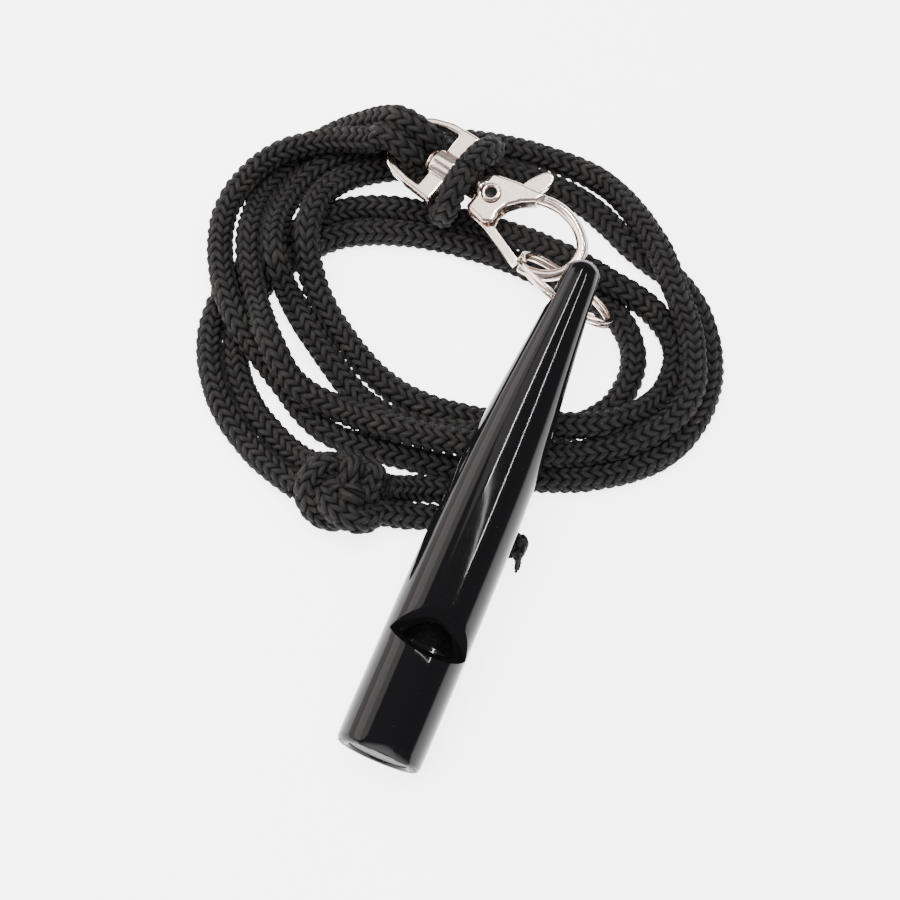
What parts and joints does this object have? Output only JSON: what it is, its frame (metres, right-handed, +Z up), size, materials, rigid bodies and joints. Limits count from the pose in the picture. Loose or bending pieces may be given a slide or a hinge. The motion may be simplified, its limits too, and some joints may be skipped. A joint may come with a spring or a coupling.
{
  "type": "dog whistle",
  "caption": "Turned black plastic training whistle with a split ring, hanging on a swivel trigger snap that is hitched to a knotted knitted neck cord.",
  "frame": {"origin": "on the table, under the middle of the hard parts' bounding box (whistle, ring and snap together)", "axes": "+Z up; +Y along the whistle in plan, from its mouth end to its tip; the snap lies beyond the tip, turned 15 degrees clockwise seen from above"},
  "size_m": [0.0824, 0.1042, 0.02],
  "materials": {
    "black_plastic": "moulded and polished, gloss black",
    "nickel_plate": "bright nickel plating on die-cast metal, warm tone",
    "spring_steel": "plain drawn spring wire",
    "black_cord": "knitted polyester cord, matt, charcoal black"
  },
  "bodies": {
    "lanyard": {"swivel_eye": "nickel_plate", "lanyard_strand_outer": "black_cord", "lanyard_strand_inner": "black_cord", "lanyard_knot": "black_cord", "lanyard_tail_upper": "black_cord", "lanyard_tail_lower": "black_cord"},
    "hook": {"hook_body": "nickel_plate", "gate_rivet": "nickel_plate", "gate_spring": "spring_steel", "swivel_pin": "nickel_plate"},
    "gate": {"gate_lever": "nickel_plate"},
    "ring": {"split_ring": "nickel_plate"},
    "whistle": {"whistle_body": "black_plastic", "fipple_plug": "black_plastic"}
  },
  "joints": [
    {"name": "swivel_turn", "type": "hinge", "parent": "lanyard", "child": "hook", "pos_m": [-0.0033, 0.03984, 0.00923], "axis": [-0.965, 0.2586, -0.0436], "range_deg": [0, 60]},
    {"name": "gate_hinge", "type": "hinge", "parent": "hook", "child": "gate", "pos_m": [-0.0033, 0.03984, 0.00923], "axis": [-0.0777, -0.1233, 0.9893], "range_deg": [0, 14], "stiffness_Nm_per_rad": 0.012, "springref_deg": -17.19},
    {"name": "ring_turn", "type": "hinge", "parent": "hook", "child": "ring", "pos_m": [0.01314, 0.02802, 0.0114], "axis": [0.3218, 0.7516, 0.5757], "continuous": true},
    {"name": "whistle_swing", "type": "hinge", "parent": "hook", "child": "whistle", "pos_m": [0.0154, 0.02302, 0.01667], "axis": [-0.9569, -0.0255, 0.2893], "range_deg": [0, 60]}
  ]
}
